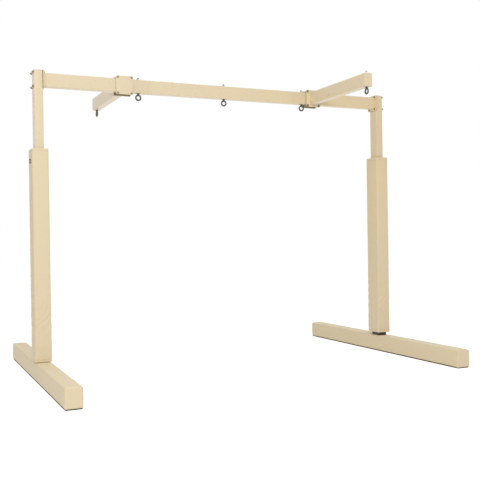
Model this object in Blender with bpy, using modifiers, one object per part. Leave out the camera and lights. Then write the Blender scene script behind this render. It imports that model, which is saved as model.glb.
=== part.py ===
"""Free-standing swing support frame for a therapy gym.

Two padded floor legs carry two telescoping posts, and a rectangular crossbeam is bolted between
the posts.  Three eyebolts hang under the beam.  Two arms reach out from the beam, one to the back
and one to the front, and each is held by a pair of plates that clamp round the beam, so it can be
moved along.  Each arm has an eyebolt near its free end.

Metres, +Z up, X along the beam, the floor at Z = 0.  The right side is the left side's design
turned half round about Z.
"""

import math

import bmesh
import bpy
from mathutils import Matrix, Vector

# Whole frame
POST_X = 1.480
BEAM_TOP = 2.242
GAP = 0.0003

# Crossbeam and arms share one rectangular steel section
BEAM_DEEP = 0.0635
BEAM_HIGH = 0.1016
BEAM_WALL = 0.004
BEAM_CORNER = 0.006
BEAM_MID = BEAM_TOP - BEAM_HIGH / 2
BEAM_UNDER = BEAM_TOP - BEAM_HIGH

# End plates that are welded on the beam and bolted to the posts
END_PLATE_DEEP = 0.127
END_PLATE_HIGH = 0.1334
END_PLATE_THICK = 0.0095
END_BOLT_Y = 0.040
END_BOLT_Z = 0.052

# Upper posts slide in the lower posts
UPPER_WIDE = 0.0635
UPPER_DEEP = 0.1016
UPPER_WALL = 0.004
UPPER_CORNER = 0.006
UPPER_BOTTOM = 1.150
UPPER_TOP = BEAM_MID + END_PLATE_HIGH / 2
CAP_THICK = 0.003
CAP_DEPTH = 0.006
CAP_WALL = 0.002

# Lower posts stand over a spigot on the floor leg
LOWER_WIDE = 0.0762
LOWER_DEEP = 0.1143
LOWER_WALL = 0.0032
LOWER_CORNER = 0.007
LOWER_TOP = 1.672
SPIGOT_RISE = 0.200
SPIGOT_WALL = 0.004
FOOT_BOLT_RISES = (0.075, 0.150)
FOOT_POCKET_DEEP = 0.029
FOOT_POCKET_REACH = 0.016
BUSHING_LENGTH = 0.060
BUSHING_FLANGE = 0.003

# Height clamp screws, one above the other on the outer side of each lower post
CLAMP_Z = 1.596
CLAMP_PITCH = 0.019
CLAMP_HEAD_RADIUS = 0.0078
CLAMP_HEAD_LENGTH = 0.006
CLAMP_SHANK_RADIUS = 0.00475
PAD_HOLE_RADIUS = 0.0056
CLAMP_BOSS_HIGH = 0.046
CLAMP_BOSS_DEEP = 0.026
CLAMP_BOSS_THICK = 0.008

# Floor legs
LEG_LENGTH = 2.206
STRIP_WIDE = 0.106
STRIP_THICK = 0.005
STRIP_CORNER = 0.010
STRIP_SHORT = 0.0025
LEG_TUBE_WIDE = 0.0635
LEG_TUBE_HIGH = 0.1016
LEG_TUBE_WALL = 0.0032
LEG_TUBE_CORNER = 0.006
LEG_TUBE_UNDER = STRIP_THICK + GAP
LEG_TUBE_TOP = LEG_TUBE_UNDER + LEG_TUBE_HIGH
LEG_END_PAD = 0.025

# Padding
LEG_PAD_WIDE = 0.114
LEG_PAD_TOP = 0.1375
POST_PAD_WIDE = 0.120
POST_PAD_DEEP = 0.164
POST_PAD_LENGTH = 1.545
LEFT_PAD_UNDER = 0.1382
RIGHT_PAD_UNDER = 0.1620
PAD_EDGE = 0.011
PAD_END_EDGE = 0.005
PAD_CROWN = 0.0012
PAD_END_POWER = 20
LEG_SIDE_CROWN = 0.0017
LEG_END_CROWN = 0.002
POST_SIDE_CROWN = 0.0012
POST_FRONT_CROWN = 0.0016
PAD_FIT = 0.0004
HEM_RISE = 0.013
HEM_HALF = 0.003
HEM_DEPTH = 0.0013
LEG_PAD_CUTS_X = (-0.030, 0.0, 0.030)
LEG_PAD_CUTS_Y = (0.1, 0.3, 0.55, 0.8, 1.0, 1.07)
LEG_PAD_CUTS_Z = (0.035, 0.070, 0.105)
POST_PAD_CUTS_X = (-0.028, 0.028)
POST_PAD_CUTS_Y = (-0.038, 0.038)
POST_PAD_CUTS_Z = (0.45, 0.75, 1.05, 1.35)
POST_PAD_END_CUT = 0.04

# Arms and their clamps
LEFT_ARM_X = 0.836
RIGHT_ARM_X = 0.813
ARM_REACH = 0.870
ARM_EYE_Y = 0.842
CLAMP_PLATE_WIDE = 0.1334
CLAMP_PLATE_HIGH = 0.1397
CLAMP_PLATE_THICK = 0.0095
CLAMP_BOLT_X = 0.054
CLAMP_BOLT_Z = 0.0603
PLATE_CORNER = 0.008

# Eyebolts
BEAM_EYES_X = (-0.718, 0.0, 0.718)
EYE_RING_RADIUS = 0.01905
EYE_WIRE_RADIUS = 0.00635
EYE_CENTRE_DROP = 0.0321
EYE_THREAD_RISE = 0.0195
EYE_SHOULDER_RADIUS = 0.0105
EYE_SHOULDER_THICK = 0.004
EYE_NECK_RADIUS = 0.0070
SHOULDER_FLARE = 0.0008

# Bolts, nuts and washers
BOLT_RADIUS = 0.00475
BOLT_HOLE_RADIUS = 0.00515
HOLE_REACH = 0.3
HEAD_ACROSS = 0.0143
HEAD_THICK = 0.0061
NUT_THICK = 0.008
WASHER_RADIUS = 0.0105
WASHER_THICK = 0.0018
THREAD_PROUD = 0.004
THREAD_CHAMFER = 0.001
EYE_HOLE_RADIUS = EYE_WIRE_RADIUS + 0.0004
EYE_NUT_ACROSS = 0.019
EYE_NUT_THICK = 0.0105
EYE_WASHER_RADIUS = 0.014

# Making: facet counts, weld distance, how far a joined solid sinks in and a cutter sticks out
ROUND_STEPS = 12
BOLT_STEPS = 8
RING_STEPS = 24
WIRE_STEPS = 8
CORNER_STEPS = 3
WELD = 0.000002
SINK = 0.001
OVERSHOOT = 0.02
INSIDE_CORNER_SHARE = 0.6
SHARP = math.radians(60)
CREASE = math.radians(50)
ROUND_CREASE = math.radians(40)
EMPTY_SIZE = 0.1


def clear_scene():
    """Take away whatever the scene holds at the start."""
    for old in list(bpy.data.objects):
        bpy.data.objects.remove(old, do_unlink=True)


clear_scene()
parts = bpy.data.collections.new("swing_support_frame")
cutters = bpy.data.collections.new("cutters")
bpy.context.scene.collection.children.link(parts)
bpy.context.scene.collection.children.link(cutters)


def material(name, colour, roughness, metallic=0.0):
    """A plain Principled material."""
    made = bpy.data.materials.new(name)
    made.use_nodes = True
    shader = made.node_tree.nodes["Principled BSDF"]
    shader.inputs["Base Color"].default_value = (*colour, 1.0)
    shader.inputs["Roughness"].default_value = roughness
    shader.inputs["Metallic"].default_value = metallic
    made.diffuse_color = (*colour, 1.0)
    return made


def empty(name, location, turn=0.0, parent=None):
    """A parent that carries a group of pieces and sets where and which way round they stand."""
    made = bpy.data.objects.new(name, None)
    made.location = location
    made.rotation_euler = (0.0, 0.0, turn)
    made.empty_display_size = EMPTY_SIZE
    made.parent = parent
    parts.objects.link(made)
    return made


def part(name, mesh, location, finish, parent):
    """One named piece of the frame with its own material."""
    made = bpy.data.objects.new(name, mesh)
    made.location = location
    made.parent = parent
    colour, roughness, metallic = finish
    paint = material(name, colour, roughness, metallic)
    if not mesh.materials:
        mesh.materials.append(None)
    made.material_slots[0].link = 'OBJECT'
    made.material_slots[0].material = paint
    parts.objects.link(made)
    return made


def tool(name, mesh, location, parent):
    """A solid that cuts or joins another and is not itself a piece of the frame."""
    made = bpy.data.objects.new(name, mesh)
    made.location = location
    made.parent = parent
    made.hide_render = True
    made.display_type = 'WIRE'
    cutters.objects.link(made)
    return made


def combine(target, other, operation):
    """Cut the other solid out of the target, or join it on."""
    step = target.modifiers.new(operation.lower() + " " + other.name, 'BOOLEAN')
    step.operation = operation
    step.solver = 'EXACT'
    step.object = other


def rounded_rectangle(half_x, half_y, radius, steps=CORNER_STEPS):
    """Outline of a rectangle with arc corners, anticlockwise."""
    points = []
    for corner in range(4):
        side_x = 1 if corner in (0, 3) else -1
        side_y = 1 if corner in (0, 1) else -1
        for step in range(steps + 1):
            angle = (corner + step / steps) * math.pi / 2
            x = side_x * (half_x - radius) + radius * math.cos(angle)
            y = side_y * (half_y - radius) + radius * math.sin(angle)
            points.append((x, y))
    return points


def circle(radius, centre=(0.0, 0.0), steps=ROUND_STEPS):
    """Outline of a circle; with six steps and no centre it is the outline of a hexagon."""
    points = []
    for step in range(steps):
        angle = 2 * math.pi * step / steps
        points.append((centre[0] + radius * math.cos(angle), centre[1] + radius * math.sin(angle)))
    return points


def hexagon(across):
    """Outline of a hexagon from its size across the flats."""
    return circle(across / math.sqrt(3), steps=6)


def extruded(outlines, low, high):
    """Solid between two heights on Z from an outer outline and the outlines of its holes."""
    curve = bpy.data.curves.new("outline", 'CURVE')
    curve.dimensions = '2D'
    curve.fill_mode = 'BOTH'
    curve.extrude = (high - low) / 2
    for outline in outlines:
        spline = curve.splines.new('POLY')
        spline.points.add(len(outline) - 1)
        for point, (x, y) in zip(spline.points, outline):
            point.co = (x, y, 0.0, 1.0)
        spline.use_cyclic_u = True
    holder = bpy.data.objects.new("outline", curve)
    bpy.context.scene.collection.objects.link(holder)
    mesh = baked(holder)
    mesh.transform(Matrix.Translation((0.0, 0.0, (low + high) / 2)))
    return mesh


def baked(holder):
    """Mesh of an object with its modifiers applied and its seams welded; the object goes."""
    bpy.context.view_layer.update()
    graph = bpy.context.evaluated_depsgraph_get()
    mesh = bpy.data.meshes.new_from_object(holder.evaluated_get(graph), depsgraph=graph)
    mesh.transform(holder.matrix_world)
    bpy.data.objects.remove(holder, do_unlink=True)
    work = bmesh.new()
    work.from_mesh(mesh)
    bmesh.ops.remove_doubles(work, verts=work.verts, dist=WELD)
    bmesh.ops.recalc_face_normals(work, faces=work.faces)
    work.to_mesh(mesh)
    work.free()
    mesh.materials.clear()
    return mesh


def turned(profile, steps=ROUND_STEPS):
    """Solid of revolution about Z; the profile runs from the top of the axis to its bottom."""
    mesh = bpy.data.meshes.new("profile")
    points = [(radius, 0.0, height) for radius, height in profile]
    mesh.from_pydata(points, [(i, i + 1) for i in range(len(points) - 1)], [])
    holder = bpy.data.objects.new("profile", mesh)
    bpy.context.scene.collection.objects.link(holder)
    turn = holder.modifiers.new("turn", 'SCREW')
    turn.axis = 'Z'
    turn.steps = steps
    turn.render_steps = steps
    turn.use_merge_vertices = True
    turn.merge_threshold = WELD * 5
    made = baked(holder)
    made.shade_smooth()
    made.set_sharp_from_angle(angle=ROUND_CREASE)
    return made


def block(size, centre=(0.0, 0.0, 0.0)):
    """A rectangular block."""
    work = bmesh.new()
    bmesh.ops.create_cube(work, size=1.0)
    bmesh.ops.scale(work, vec=size, verts=work.verts)
    bmesh.ops.translate(work, vec=centre, verts=work.verts)
    mesh = bpy.data.meshes.new("block")
    work.to_mesh(mesh)
    work.free()
    return mesh


def joined(first, second):
    """One solid from two meshes that overlap."""
    base = bpy.data.objects.new("base", first)
    other = bpy.data.objects.new("other", second)
    bpy.context.scene.collection.objects.link(base)
    bpy.context.scene.collection.objects.link(other)
    combine(base, other, 'UNION')
    mesh = baked(base)
    bpy.data.objects.remove(other, do_unlink=True)
    return mesh


def repeated(mesh, places):
    """The same solid at several places, as separate bodies in one mesh."""
    work = bmesh.new()
    for place in places:
        copy = mesh.copy()
        copy.transform(Matrix.Translation(place))
        work.from_mesh(copy)
        bpy.data.meshes.remove(copy)
    grouped = bpy.data.meshes.new("group")
    work.to_mesh(grouped)
    work.free()
    grouped.shade_smooth()
    grouped.set_sharp_from_angle(angle=ROUND_CREASE)
    return grouped


def along_x(mesh):
    """Turn a solid that was made along Z to lie along X."""
    mesh.transform(Matrix.Rotation(math.pi / 2, 4, 'Y'))
    return mesh


def along_y(mesh):
    """Turn a solid that was made along Z to lie along Y."""
    mesh.transform(Matrix.Rotation(-math.pi / 2, 4, 'X'))
    return mesh


def inner_corner(corner, wall):
    """Radius of a tube's inside corner from that of its outside corner."""
    return corner - wall * INSIDE_CORNER_SHARE


def box_tube(half_x, half_y, corner, wall, low, high):
    """Rectangular tube along Z with rounded corners, open at both ends."""
    outer = rounded_rectangle(half_x, half_y, corner)
    inner = rounded_rectangle(half_x - wall, half_y - wall, inner_corner(corner, wall))
    return extruded([outer, inner], low, high)


def through_bolt(low, high):
    """Hex bolt along Z with its washer and nut run up, on what lies between two heights."""
    head_face = low - GAP
    washer_face = high + GAP
    nut_face = washer_face + WASHER_THICK
    end = nut_face + NUT_THICK + THREAD_PROUD
    stem = turned([
        (0.0, end),
        (BOLT_RADIUS - THREAD_CHAMFER, end),
        (BOLT_RADIUS, end - THREAD_CHAMFER),
        (BOLT_RADIUS, nut_face),
        (WASHER_RADIUS, nut_face),
        (WASHER_RADIUS, washer_face),
        (BOLT_RADIUS, washer_face),
        (BOLT_RADIUS, head_face - HEAD_THICK / 2),
        (0.0, head_face - HEAD_THICK / 2),
    ], steps=BOLT_STEPS)
    head = extruded([hexagon(HEAD_ACROSS)], head_face - HEAD_THICK, head_face)
    hex_nut = extruded([hexagon(HEAD_ACROSS)], nut_face - GAP / 2, nut_face + NUT_THICK)
    return joined(joined(stem, head), hex_nut)


def foam_block(half_x, half_y, low, high, cuts, swell):
    """Block divided by planes and swollen; gives its upright corners, top rim and bottom rim too.

    cuts gives the planes that divide the block on each axis, and swell moves a point of the
    divided block to where the stuffed surface lies.
    """
    work = bmesh.new()
    bmesh.ops.create_cube(work, size=1.0)
    bmesh.ops.scale(work, vec=(2 * half_x, 2 * half_y, high - low), verts=work.verts)
    bmesh.ops.translate(work, vec=(0.0, 0.0, (low + high) / 2), verts=work.verts)
    for axis, places in enumerate(cuts):
        normal = Vector((0.0, 0.0, 0.0))
        normal[axis] = 1.0
        for place in places:
            geometry = list(work.verts) + list(work.edges) + list(work.faces)
            bmesh.ops.bisect_plane(work, geom=geometry, plane_co=normal * place, plane_no=normal)
    upright = []
    top_rim = []
    foot_rim = []
    for edge in work.edges:
        if edge.calc_face_angle() < SHARP:
            continue
        first, second = edge.verts
        if abs(first.co.z - second.co.z) > GAP:
            upright.append(edge)
        elif first.co.z > (low + high) / 2:
            top_rim.append(edge)
        else:
            foot_rim.append(edge)
    for point in work.verts:
        point.co = swell(point.co)
    return work, upright, top_rim, foot_rim


def rounded(work, edges, radius, segments):
    """Round the given edges of a foam block."""
    bmesh.ops.bevel(work, geom=edges, offset=radius, segments=segments, profile=0.5,
                    affect='EDGES', clamp_overlap=True)


def cushion(work):
    """Mesh of a foam block once its edges are rounded."""
    bmesh.ops.recalc_face_normals(work, faces=work.faces)
    mesh = bpy.data.meshes.new("cushion")
    work.to_mesh(mesh)
    work.free()
    mesh.shade_smooth()
    mesh.set_sharp_from_angle(angle=CREASE)
    return mesh


def leg_swell(point):
    """Floor leg pad: the top is highest in the middle and the sides are fullest half way up."""
    half_x = LEG_PAD_WIDE / 2
    half_y = LEG_LENGTH / 2
    across = point.x / half_x
    along = point.y / half_y
    at_end = abs(along) ** PAD_END_POWER
    rise = (point.z - LEG_TUBE_UNDER) / (LEG_PAD_TOP - LEG_TUBE_UNDER)
    side = 2 * rise - 1
    x = point.x - across * LEG_SIDE_CROWN * side * side
    y = point.y - math.copysign(LEG_END_CROWN, along) * side * side * at_end
    z = point.z - PAD_CROWN * rise * (across * across + at_end)
    return Vector((x, y, z))


def post_corners(work):
    """The four upright corners of a post pad, found again after its ends are rounded."""
    corners = []
    for edge in work.edges:
        start, end = edge.verts
        run = end.co - start.co
        steep = abs(run.z) > 0.5 * run.length
        at_side = abs(start.co.x) > POST_PAD_WIDE / 2 - PAD_END_EDGE
        at_front = abs(start.co.y) > POST_PAD_DEEP / 2 - PAD_END_EDGE
        if steep and at_side and at_front and edge.calc_face_angle() > SHARP:
            corners.append(edge)
    return corners


def post_swell(low, high):
    """Post pad: faces swell a little between the corners and a stitched hem is drawn in."""
    def swell(point):
        across = point.x / (POST_PAD_WIDE / 2)
        deep = point.y / (POST_PAD_DEEP / 2)
        hem = math.exp(-((point.z - low - HEM_RISE) / HEM_HALF) ** 2)
        hem += math.exp(-((high - HEM_RISE - point.z) / HEM_HALF) ** 2)
        draw = HEM_DEPTH * hem
        x = point.x - across * (POST_SIDE_CROWN * deep * deep + draw)
        y = point.y - deep * (POST_FRONT_CROWN * across * across + draw)
        return Vector((x, y, point.z))
    return swell


BEIGE_PAINT = ((0.78, 0.66, 0.46), 0.42, 0.0)
BLACK_PAINT = ((0.03, 0.028, 0.024), 0.5, 0.0)
BEIGE_VINYL = ((0.76, 0.66, 0.48), 0.55, 0.0)
BLACK_RUBBER = ((0.05, 0.05, 0.045), 0.8, 0.0)
BEIGE_PLASTIC = ((0.75, 0.64, 0.46), 0.5, 0.0)
WHITE_NYLON = ((0.8, 0.8, 0.76), 0.45, 0.0)
BLACK_PLASTIC = ((0.04, 0.04, 0.035), 0.4, 0.0)
ZINC = ((0.45, 0.45, 0.42), 0.38, 1.0)
DARK_STEEL = ((0.22, 0.21, 0.18), 0.42, 1.0)


def bolt_holes(target, name, places, direction, parent, radius=BOLT_HOLE_RADIUS, reach=HOLE_REACH):
    """Round holes through a piece, as one cutter of separate rods."""
    rod = turned([(0.0, reach / 2), (radius, reach / 2), (radius, -reach / 2), (0.0, -reach / 2)])
    rod = direction(rod) if direction else rod
    cutter = tool(name, repeated(rod, places), (0.0, 0.0, 0.0), parent)
    combine(target, cutter, 'DIFFERENCE')


def floor_leg(side, place):
    """Floor leg: steel tube with the spigot welded on, a padded cover and a rubber strip."""
    half_tube = LEG_LENGTH / 2 - LEG_END_PAD
    mid_tube = (LEG_TUBE_UNDER + LEG_TUBE_TOP) / 2
    tube = along_y(box_tube(LEG_TUBE_WIDE / 2, LEG_TUBE_HIGH / 2, LEG_TUBE_CORNER, LEG_TUBE_WALL,
                            -half_tube, half_tube))
    frame = part(side + "_floor_leg_tube", tube, (0.0, 0.0, mid_tube), BLACK_PAINT, place)
    spigot = box_tube(LOWER_WIDE / 2 - LOWER_WALL - GAP, LOWER_DEEP / 2 - LOWER_WALL - GAP,
                      inner_corner(LOWER_CORNER, LOWER_WALL), SPIGOT_WALL,
                      LEG_TUBE_TOP - SINK, LEG_TUBE_TOP + SPIGOT_RISE)
    combine(frame, tool(side + "_spigot", spigot, (0.0, 0.0, 0.0), place), 'UNION')
    foot_places = [(0.0, 0.0, LEG_TUBE_TOP + rise) for rise in FOOT_BOLT_RISES]
    bolt_holes(frame, side + "_spigot_holes", foot_places, along_x, place)

    strip_outline = rounded_rectangle(STRIP_WIDE / 2, LEG_LENGTH / 2 - STRIP_SHORT, STRIP_CORNER)
    strip = extruded([strip_outline], 0.0, STRIP_THICK)
    part(side + "_floor_strip", strip, (0.0, 0.0, 0.0), BLACK_RUBBER, place)

    cuts_y = [-cut for cut in LEG_PAD_CUTS_Y] + list(LEG_PAD_CUTS_Y)
    work, upright, top_rim, foot_rim = foam_block(
        LEG_PAD_WIDE / 2, LEG_LENGTH / 2, LEG_TUBE_UNDER, LEG_PAD_TOP,
        (LEG_PAD_CUTS_X, cuts_y, LEG_PAD_CUTS_Z), leg_swell)
    rounded(work, upright + top_rim, PAD_EDGE, 3)
    cover = cushion(work)
    pad = part(side + "_floor_leg_pad", cover, (0.0, 0.0, 0.0), BEIGE_VINYL, place)
    inside_high = LEG_TUBE_HIGH + OVERSHOOT
    inside = block((LEG_TUBE_WIDE + 2 * GAP, 2 * half_tube + 2 * GAP, inside_high),
                   (0.0, 0.0, LEG_TUBE_TOP + GAP - inside_high / 2))
    combine(pad, tool(side + "_leg_pad_inside", inside, (0.0, 0.0, 0.0), place), 'DIFFERENCE')
    mouth = extruded([rounded_rectangle(LOWER_WIDE / 2 + PAD_FIT, LOWER_DEEP / 2 + PAD_FIT, LOWER_CORNER)],
                     LEG_TUBE_TOP - 1.5 * SINK, LEG_PAD_TOP + OVERSHOOT)
    combine(pad, tool(side + "_leg_pad_mouth", mouth, (0.0, 0.0, 0.0), place), 'DIFFERENCE')


def lower_post(side, place, pad_under):
    """Lower post over the spigot, with its bushing, clamp boss, foot bolts and padded sleeve."""
    foot = LEG_TUBE_TOP + GAP
    tube = box_tube(LOWER_WIDE / 2, LOWER_DEEP / 2, LOWER_CORNER, LOWER_WALL, foot, LOWER_TOP)
    post = part(side + "_lower_post", tube, (0.0, 0.0, 0.0), BLACK_PAINT, place)
    boss_x = -LOWER_WIDE / 2 - CLAMP_BOSS_THICK / 2 + SINK / 2
    boss = block((CLAMP_BOSS_THICK + SINK, CLAMP_BOSS_DEEP, CLAMP_BOSS_HIGH), (boss_x, 0.0, CLAMP_Z))
    combine(post, tool(side + "_clamp_boss", boss, (0.0, 0.0, 0.0), place), 'UNION')
    foot_places = [(0.0, 0.0, LEG_TUBE_TOP + rise) for rise in FOOT_BOLT_RISES]
    bolt_holes(post, side + "_foot_holes", foot_places, along_x, place)
    clamp_places = [(-LOWER_WIDE / 2, 0.0, CLAMP_Z + half * CLAMP_PITCH / 2) for half in (-1, 1)]
    bolt_holes(post, side + "_clamp_holes", clamp_places, along_x, place, reach=2 * OVERSHOOT)

    bore_x = LOWER_WIDE / 2 - LOWER_WALL - GAP
    bore_y = LOWER_DEEP / 2 - LOWER_WALL - GAP
    slot = rounded_rectangle(UPPER_WIDE / 2 + GAP, UPPER_DEEP / 2 + GAP, UPPER_CORNER)
    sleeve_outline = rounded_rectangle(bore_x, bore_y, inner_corner(LOWER_CORNER, LOWER_WALL))
    flange_outline = rounded_rectangle(LOWER_WIDE / 2, LOWER_DEEP / 2, LOWER_CORNER)
    sleeve = extruded([sleeve_outline, slot], LOWER_TOP - BUSHING_LENGTH, LOWER_TOP + GAP + 1.5 * SINK)
    flange = extruded([flange_outline, slot], LOWER_TOP + GAP, LOWER_TOP + GAP + BUSHING_FLANGE)
    part(side + "_post_bushing", joined(flange, sleeve), (0.0, 0.0, 0.0), WHITE_NYLON, place)

    bolt = along_x(through_bolt(-LOWER_WIDE / 2, LOWER_WIDE / 2))
    for word, foot_place in zip(("lower", "upper"), foot_places):
        part(side + "_foot_bolt_" + word, bolt, foot_place, ZINC, place)

    high = pad_under + POST_PAD_LENGTH
    cuts_z = list(POST_PAD_CUTS_Z)
    for step in (-1, 0, 1):
        cuts_z.append(pad_under + HEM_RISE + step * HEM_HALF)
        cuts_z.append(high - HEM_RISE + step * HEM_HALF)
    cuts_z += [pad_under + POST_PAD_END_CUT, high - POST_PAD_END_CUT]
    work, upright, top_rim, foot_rim = foam_block(
        POST_PAD_WIDE / 2, POST_PAD_DEEP / 2, pad_under, high,
        (POST_PAD_CUTS_X, POST_PAD_CUTS_Y, sorted(cuts_z)), post_swell(pad_under, high))
    rounded(work, top_rim + foot_rim, PAD_END_EDGE, 2)
    rounded(work, post_corners(work), PAD_EDGE, 3)
    sleeve_mesh = cushion(work)
    pad = part(side + "_post_pad", sleeve_mesh, (0.0, 0.0, 0.0), BEIGE_VINYL, place)
    bore = extruded([rounded_rectangle(LOWER_WIDE / 2 + PAD_FIT, LOWER_DEEP / 2 + PAD_FIT, LOWER_CORNER)],
                    pad_under - OVERSHOOT, high + OVERSHOOT)
    combine(pad, tool(side + "_post_pad_bore", bore, (0.0, 0.0, 0.0), place), 'DIFFERENCE')
    pocket_z = LEG_TUBE_TOP + sum(FOOT_BOLT_RISES) / 2
    pocket_high = FOOT_BOLT_RISES[1] - FOOT_BOLT_RISES[0] + FOOT_POCKET_DEEP
    pocket = block((LOWER_WIDE + 2 * FOOT_POCKET_REACH, FOOT_POCKET_DEEP, pocket_high), (0.0, 0.0, pocket_z))
    combine(pad, tool(side + "_foot_pocket", pocket, (0.0, 0.0, 0.0), place), 'DIFFERENCE')
    room = 2 * SINK
    pocket = block((CLAMP_BOSS_THICK + 2 * room, CLAMP_BOSS_DEEP + room, CLAMP_BOSS_HIGH + room),
                   (-LOWER_WIDE / 2 - CLAMP_BOSS_THICK / 2 + SINK, 0.0, CLAMP_Z))
    combine(pad, tool(side + "_clamp_pocket", pocket, (0.0, 0.0, 0.0), place), 'DIFFERENCE')
    outer_places = [(-POST_PAD_WIDE / 2, 0.0, z) for x, y, z in clamp_places]
    bolt_holes(pad, side + "_pad_screw_holes", outer_places, along_x, place, radius=PAD_HOLE_RADIUS,
               reach=2 * OVERSHOOT)


def clamp_screws(side, place):
    """Two thumb screws that press on the upper post and hold its height."""
    head_start = POST_PAD_WIDE / 2 + GAP
    head_end = head_start + CLAMP_HEAD_LENGTH
    tip = UPPER_WIDE / 2 + GAP
    head = CLAMP_HEAD_RADIUS
    shank = CLAMP_SHANK_RADIUS
    profile = [
        (0.0, head_end),
        (head - 2 * THREAD_CHAMFER, head_end),
        (head, head_end - 2 * THREAD_CHAMFER),
        (head, head_start + THREAD_CHAMFER),
        (head - THREAD_CHAMFER, head_start),
        (shank, head_start),
        (shank, tip + THREAD_CHAMFER),
        (shank - THREAD_CHAMFER, tip),
        (0.0, tip),
    ]
    for half, word in ((1, "upper"), (-1, "lower")):
        screw = turned(profile)
        screw.transform(Matrix.Rotation(-math.pi / 2, 4, 'Y'))
        height = CLAMP_Z + half * CLAMP_PITCH / 2
        part(side + "_" + word + "_clamp_screw", screw, (0.0, 0.0, height), BLACK_PLASTIC, place)


def upper_post(side, place):
    """Upper post with its top cap and the bolts that hold the beam's end plate."""
    tube = box_tube(UPPER_WIDE / 2, UPPER_DEEP / 2, UPPER_CORNER, UPPER_WALL,
                    UPPER_BOTTOM, UPPER_TOP - CAP_THICK)
    post = part(side + "_upper_post", tube, (0.0, 0.0, 0.0), BEIGE_PAINT, place)
    places = [(0.0, y, BEAM_MID + z) for y in (-END_BOLT_Y, END_BOLT_Y) for z in (-END_BOLT_Z, END_BOLT_Z)]
    bolt_holes(post, side + "_beam_bolt_holes", places, along_x, place)

    cap = tube_cap(UPPER_WIDE, UPPER_DEEP, UPPER_CORNER, UPPER_WALL)
    part(side + "_post_cap", cap, (0.0, 0.0, UPPER_TOP - CAP_THICK), BEIGE_PLASTIC, place)

    bolt = along_x(through_bolt(-UPPER_WIDE / 2 - GAP - END_PLATE_THICK, UPPER_WIDE / 2))
    bolt.transform(Matrix.Rotation(math.pi, 4, 'Z'))
    for x, y, z in places:
        depth = "back" if (y > 0) == (side == "left") else "front"
        height = "upper" if z > BEAM_MID else "lower"
        part(side + "_beam_bolt_" + depth + "_" + height, bolt, (x, y, z), DARK_STEEL, place)


def tube_cap(wide, deep, corner, wall):
    """Tube cap: a thin flange on the tube's end and a hollow plug inside it, flange upwards."""
    flange = extruded([rounded_rectangle(wide / 2, deep / 2, corner)], GAP, CAP_THICK)
    half_x = wide / 2 - wall - GAP
    half_y = deep / 2 - wall - GAP
    plug_corner = inner_corner(corner, wall)
    outline = rounded_rectangle(half_x, half_y, plug_corner)
    hollow = rounded_rectangle(half_x - CAP_WALL, half_y - CAP_WALL, plug_corner - CAP_WALL / 2)
    plug = extruded([outline, hollow], -CAP_DEPTH, GAP + CAP_WALL / 2)
    return joined(flange, plug)


def crossbeam(place):
    """Beam with an end plate welded on at each end and three holes for the eyebolts."""
    plate_face = POST_X - UPPER_WIDE / 2 - GAP
    half = plate_face - END_PLATE_THICK + SINK
    tube = along_x(box_tube(BEAM_HIGH / 2, BEAM_DEEP / 2, BEAM_CORNER, BEAM_WALL, -half, half))
    beam = part("crossbeam", tube, (0.0, 0.0, BEAM_MID), BEIGE_PAINT, place)
    holes = [circle(BOLT_HOLE_RADIUS, (z, y)) for y in (-END_BOLT_Y, END_BOLT_Y)
             for z in (-END_BOLT_Z, END_BOLT_Z)]
    for side, start in (("left", -plate_face), ("right", plate_face - END_PLATE_THICK)):
        outline = rounded_rectangle(END_PLATE_HIGH / 2, END_PLATE_DEEP / 2, PLATE_CORNER)
        plate = along_x(extruded([outline] + holes, start, start + END_PLATE_THICK))
        combine(beam, tool(side + "_end_plate", plate, (0.0, 0.0, BEAM_MID), place), 'UNION')
    eye_places = [(x, 0.0, BEAM_MID) for x in BEAM_EYES_X]
    bolt_holes(beam, "beam_eye_holes", eye_places, None, place, radius=EYE_HOLE_RADIUS)


def eyebolt_mesh():
    """Forged eyebolt: ring, neck, shoulder and shank, with the tube's underside at Z = 0."""
    bpy.ops.mesh.primitive_torus_add(major_segments=RING_STEPS, minor_segments=WIRE_STEPS,
                                     major_radius=EYE_RING_RADIUS, minor_radius=EYE_WIRE_RADIUS,
                                     location=(0.0, 0.0, -EYE_CENTRE_DROP), rotation=(math.pi / 2, 0.0, 0.0))
    ring = baked(bpy.context.active_object)
    under = -GAP
    top = BEAM_HIGH + EYE_THREAD_RISE
    wire = EYE_WIRE_RADIUS
    shoulder = EYE_SHOULDER_RADIUS
    neck = EYE_NECK_RADIUS
    foot = -EYE_CENTRE_DROP + EYE_RING_RADIUS - wire / 2
    stem = turned([
        (0.0, top),
        (wire - THREAD_CHAMFER, top),
        (wire, top - THREAD_CHAMFER),
        (wire, under),
        (EYE_WASHER_RADIUS, under),
        (EYE_WASHER_RADIUS, under - WASHER_THICK),
        (shoulder, under - WASHER_THICK),
        (shoulder, under - EYE_SHOULDER_THICK + SHOULDER_FLARE),
        (neck + SHOULDER_FLARE, under - EYE_SHOULDER_THICK - SHOULDER_FLARE),
        (neck, foot),
        (0.0, foot),
    ])
    made = joined(ring, stem)
    made.shade_smooth()
    made.set_sharp_from_angle(angle=ROUND_CREASE)
    return made


def eye_nut():
    """Nut and washer that hold an eyebolt, on top of the tube, whose underside is Z = 0."""
    low = BEAM_HIGH + GAP
    washer_part = extruded([circle(EYE_WASHER_RADIUS), circle(EYE_HOLE_RADIUS)], low, low + WASHER_THICK)
    low += WASHER_THICK - GAP / 2
    nut_part = extruded([hexagon(EYE_NUT_ACROSS), circle(EYE_HOLE_RADIUS)], low, low + EYE_NUT_THICK)
    return joined(washer_part, nut_part)


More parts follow.
